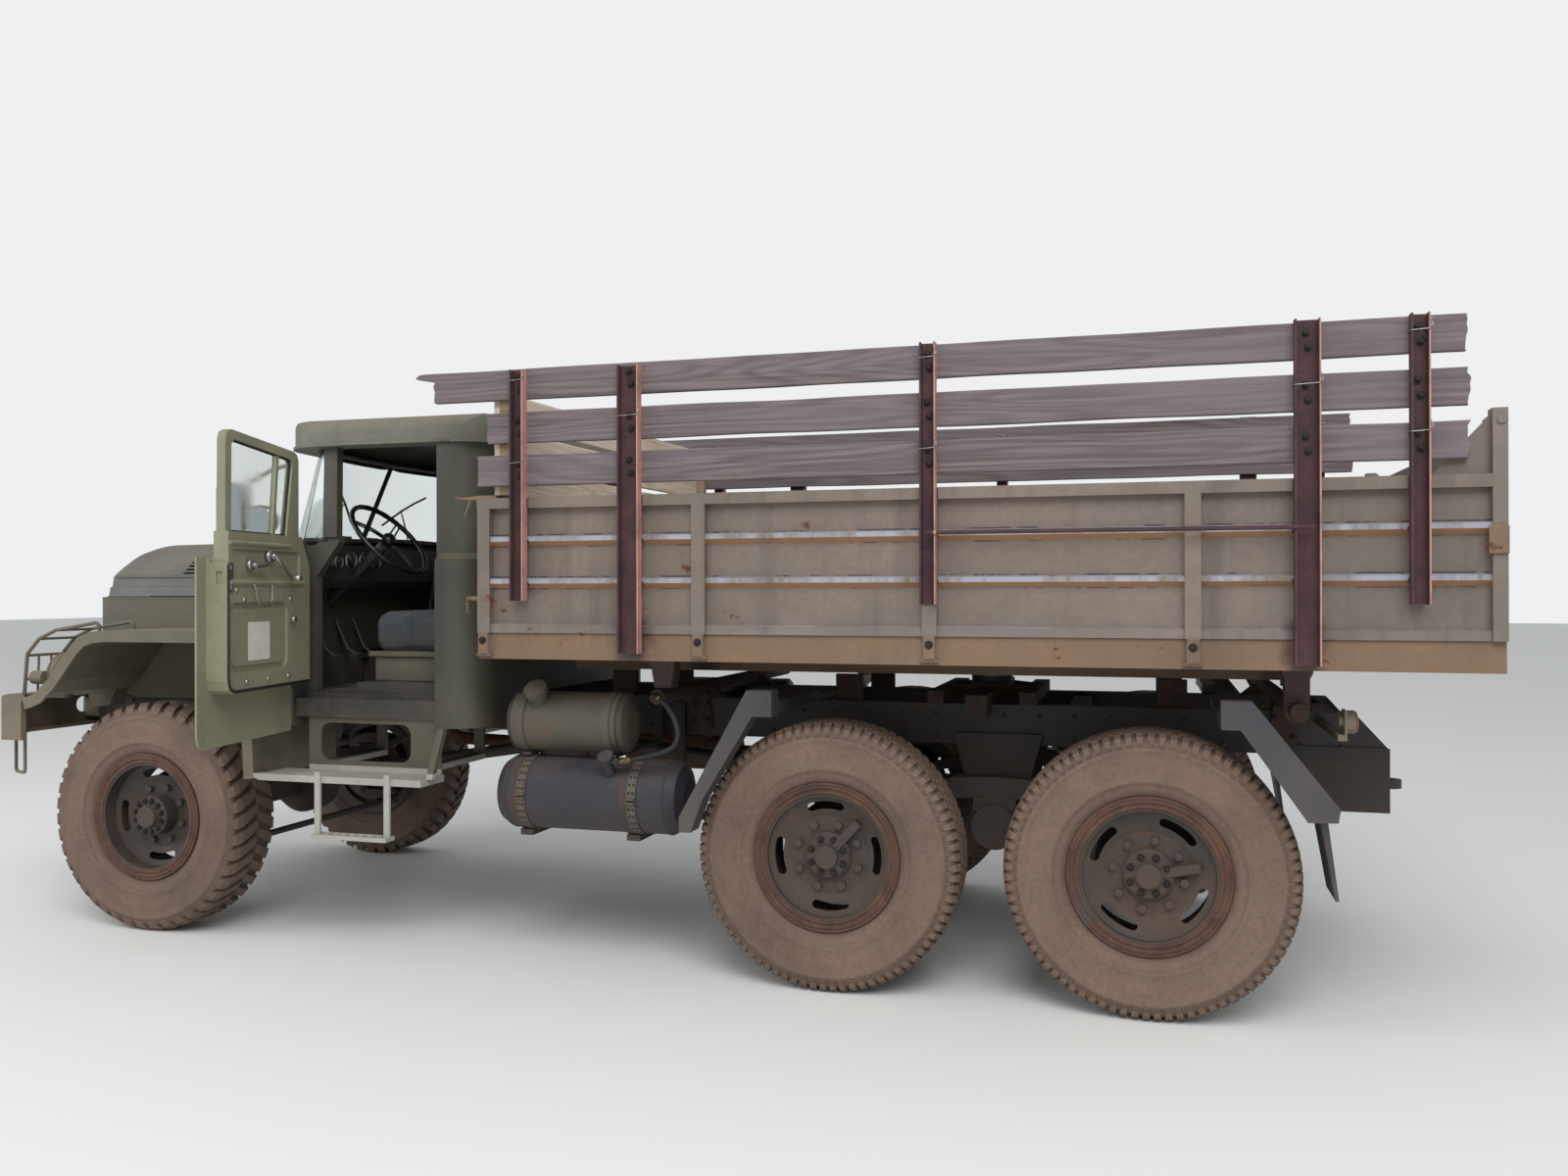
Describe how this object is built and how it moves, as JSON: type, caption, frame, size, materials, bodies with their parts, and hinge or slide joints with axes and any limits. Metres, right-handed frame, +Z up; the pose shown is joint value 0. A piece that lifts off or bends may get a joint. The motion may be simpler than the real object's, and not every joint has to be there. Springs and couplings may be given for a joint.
{
  "type": "three-axle military cargo truck with a tipping bed",
  "caption": "Military cargo truck with steel tipping bed, timber side extensions, open driver's door and all-terrain wheels, parked",
  "frame": {"origin": "centre of the bounding box at the ground", "axes": "+X forward, +Y to the truck's left, +Z up"},
  "size_m": [6.827, 3.1307, 2.555],
  "materials": {
    "frame": "matt",
    "bumper": "matt",
    "engine": "rough",
    "radiator": "matt",
    "gearbox": "matt",
    "drive_shafts": "matt",
    "front_axle": "matt",
    "middle_axle": "matt",
    "rear_axle": "matt",
    "springs": "matt",
    "fenders": "matt",
    "grille": "matt",
    "lamps": "matt",
    "cab_cowl": "matt",
    "cab_back": "matt",
    "cab_roof": "matt",
    "cab_floor": "matt",
    "cab_glass": "clear",
    "dashboard": "matt",
    "seats": "worn",
    "steps": "matt",
    "fuel_tank": "matt",
    "gas_cylinder": "matt",
    "tank_cradle": "matt",
    "gas_hose": "matt",
    "mudguard_arms": "matt",
    "exhaust": "rusty",
    "air_tanks": "matt",
    "tipping_frame": "matt",
    "left_knuckle": "matt",
    "right_knuckle": "matt",
    "tie_rod": "matt",
    "steering_wheel": "worn",
    "left_door": "matt",
    "left_door_glass": "clear",
    "right_door": "matt",
    "right_door_glass": "clear",
    "hood": "matt",
    "bed_frame": "matt",
    "bed_floor": "matt",
    "bed_walls": "matt",
    "stakes": "matt",
    "planks": "weathered",
    "tailgate": "matt",
    "hoist_barrel": "matt",
    "hoist_stage_1": "oiled",
    "hoist_stage_2": "oiled",
    "hoist_stage_3": "oiled",
    "front_left_tyre": "dusty",
    "front_left_rim": "matt",
    "front_right_tyre": "dusty",
    "front_right_rim": "matt",
    "middle_left_tyre": "dusty",
    "middle_left_rim": "matt",
    "middle_right_tyre": "dusty",
    "middle_right_rim": "matt",
    "rear_left_tyre": "dusty",
    "rear_left_rim": "matt",
    "rear_right_tyre": "dusty",
    "rear_right_rim": "matt"
  },
  "bodies": {
    "chassis": {"frame": "frame", "bumper": "bumper", "engine": "engine", "radiator": "radiator", "gearbox": "gearbox", "drive_shafts": "drive_shafts", "front_axle": "front_axle", "middle_axle": "middle_axle", "rear_axle": "rear_axle", "springs": "springs", "fenders": "fenders", "grille": "grille", "lamps": "lamps", "cab_cowl": "cab_cowl", "cab_back": "cab_back", "cab_roof": "cab_roof", "cab_floor": "cab_floor", "cab_glass": "cab_glass", "dashboard": "dashboard", "seats": "seats", "steps": "steps", "fuel_tank": "fuel_tank", "gas_cylinder": "gas_cylinder", "tank_cradle": "tank_cradle", "gas_hose": "gas_hose", "mudguard_arms": "mudguard_arms", "exhaust": "exhaust", "air_tanks": "air_tanks", "tipping_frame": "tipping_frame"},
    "left_knuckle": {"left_knuckle": "left_knuckle"},
    "right_knuckle": {"right_knuckle": "right_knuckle"},
    "tie_rod": {"tie_rod": "tie_rod"},
    "steering_wheel": {"steering_wheel": "steering_wheel"},
    "left_door": {"left_door": "left_door", "left_door_glass": "left_door_glass"},
    "right_door": {"right_door": "right_door", "right_door_glass": "right_door_glass"},
    "hood": {"hood": "hood"},
    "bed": {"bed_frame": "bed_frame", "bed_floor": "bed_floor", "bed_walls": "bed_walls", "stakes": "stakes", "planks": "planks"},
    "tailgate": {"tailgate": "tailgate"},
    "hoist_barrel": {"hoist_barrel": "hoist_barrel"},
    "hoist_stage_1": {"hoist_stage_1": "hoist_stage_1"},
    "hoist_stage_2": {"hoist_stage_2": "hoist_stage_2"},
    "hoist_stage_3": {"hoist_stage_3": "hoist_stage_3"},
    "front_left_wheel": {"front_left_tyre": "front_left_tyre", "front_left_rim": "front_left_rim"},
    "front_right_wheel": {"front_right_tyre": "front_right_tyre", "front_right_rim": "front_right_rim"},
    "middle_left_wheel": {"middle_left_tyre": "middle_left_tyre", "middle_left_rim": "middle_left_rim"},
    "middle_right_wheel": {"middle_right_tyre": "middle_right_tyre", "middle_right_rim": "middle_right_rim"},
    "rear_left_wheel": {"rear_left_tyre": "rear_left_tyre", "rear_left_rim": "rear_left_rim"},
    "rear_right_wheel": {"rear_right_tyre": "rear_right_tyre", "rear_right_rim": "rear_right_rim"}
  },
  "joints": [
    {"name": "front_left_spin", "type": "hinge", "parent": "left_knuckle", "child": "front_left_wheel", "pos_m": [2.3385, 0.6747, 0.545], "axis": [0, 1, 0], "continuous": true},
    {"name": "front_right_spin", "type": "hinge", "parent": "right_knuckle", "child": "front_right_wheel", "pos_m": [2.3385, -1.1453, 0.545], "axis": [0, 1, 0], "continuous": true},
    {"name": "middle_left_spin", "type": "hinge", "parent": "chassis", "child": "middle_left_wheel", "pos_m": [-1.0115, 0.6747, 0.545], "axis": [0, 1, 0], "continuous": true},
    {"name": "middle_right_spin", "type": "hinge", "parent": "chassis", "child": "middle_right_wheel", "pos_m": [-1.0115, -1.1453, 0.545], "axis": [0, 1, 0], "continuous": true},
    {"name": "rear_left_spin", "type": "hinge", "parent": "chassis", "child": "rear_left_wheel", "pos_m": [-2.2615, 0.6747, 0.545], "axis": [0, 1, 0], "continuous": true},
    {"name": "rear_right_spin", "type": "hinge", "parent": "chassis", "child": "rear_right_wheel", "pos_m": [-2.2615, -1.1453, 0.545], "axis": [0, 1, 0], "continuous": true},
    {"name": "left_steer", "type": "hinge", "parent": "chassis", "child": "left_knuckle", "pos_m": [2.3385, 0.4647, 0.545], "axis": [0, 0, 1], "range_deg": [-28, 28]},
    {"name": "right_steer", "type": "hinge", "parent": "chassis", "child": "right_knuckle", "pos_m": [2.3385, -0.9353, 0.545], "axis": [0, 0, 1], "range_deg": [-28.1, 28.1]},
    {"name": "tie_rod_swing", "type": "hinge", "parent": "left_knuckle", "child": "tie_rod", "pos_m": [2.1305, 0.4647, 0.363], "axis": [0, 0, 1], "range_deg": [-28.1, 28.1]},
    {"name": "steering_wheel_turn", "type": "hinge", "parent": "chassis", "child": "steering_wheel", "pos_m": [1.3565, 0.2647, 1.88], "axis": [-0.7431, 0, 0.6691], "range_deg": [-505, 505]},
    {"name": "left_door_hinge", "type": "hinge", "parent": "chassis", "child": "left_door", "pos_m": [1.5385, 0.7827, 1.44], "axis": [0, 0, 1], "range_deg": [0, 78.4]},
    {"name": "right_door_hinge", "type": "hinge", "parent": "chassis", "child": "right_door", "pos_m": [1.5385, -1.2533, 1.44], "axis": [0, 0, 1], "range_deg": [0, 78.4]},
    {"name": "hood_hinge", "type": "hinge", "parent": "chassis", "child": "hood", "pos_m": [1.8985, -0.2353, 1.912], "axis": [0, -1, 0], "range_deg": [0, 55]},
    {"name": "bed_tip", "type": "hinge", "parent": "chassis", "child": "bed", "pos_m": [-2.7945, -0.2353, 1.172], "axis": [0, -1, 0], "range_deg": [0, 45]},
    {"name": "tailgate_hinge", "type": "hinge", "parent": "bed", "child": "tailgate", "pos_m": [-3.3915, -0.2353, 2.19], "axis": [0, 1, 0], "range_deg": [0, 60]},
    {"name": "hoist_tilt", "type": "hinge", "parent": "chassis", "child": "hoist_barrel", "pos_m": [-1.5615, -0.2353, 1.15], "axis": [0, -1, 0], "range_deg": [0, 24.51]},
    {"name": "hoist_extend_1", "type": "slide", "parent": "hoist_barrel", "child": "hoist_stage_1", "axis": [0, 0, 1], "range_m": [0, 0.3118]},
    {"name": "hoist_extend_2", "type": "slide", "parent": "hoist_stage_1", "child": "hoist_stage_2", "axis": [0, 0, 1], "range_m": [0, 0.3118]},
    {"name": "hoist_extend_3", "type": "slide", "parent": "hoist_stage_2", "child": "hoist_stage_3", "axis": [0, 0, 1], "range_m": [0, 0.3118]}
  ],
  "couplings": [
    {"joint": "right_steer", "follows": "left_steer", "ratio": 1},
    {"joint": "tie_rod_swing", "follows": "left_steer", "ratio": -1},
    {"joint": "steering_wheel_turn", "follows": "left_steer", "ratio": 18},
    {"joint": "hoist_tilt", "follows": "bed_tip", "ratio": 0.5436},
    {"joint": "hoist_extend_1", "follows": "bed_tip", "m_per_rad": 0.3963},
    {"joint": "hoist_extend_2", "follows": "bed_tip", "m_per_rad": 0.3963},
    {"joint": "hoist_extend_3", "follows": "bed_tip", "m_per_rad": 0.3963}
  ]
}
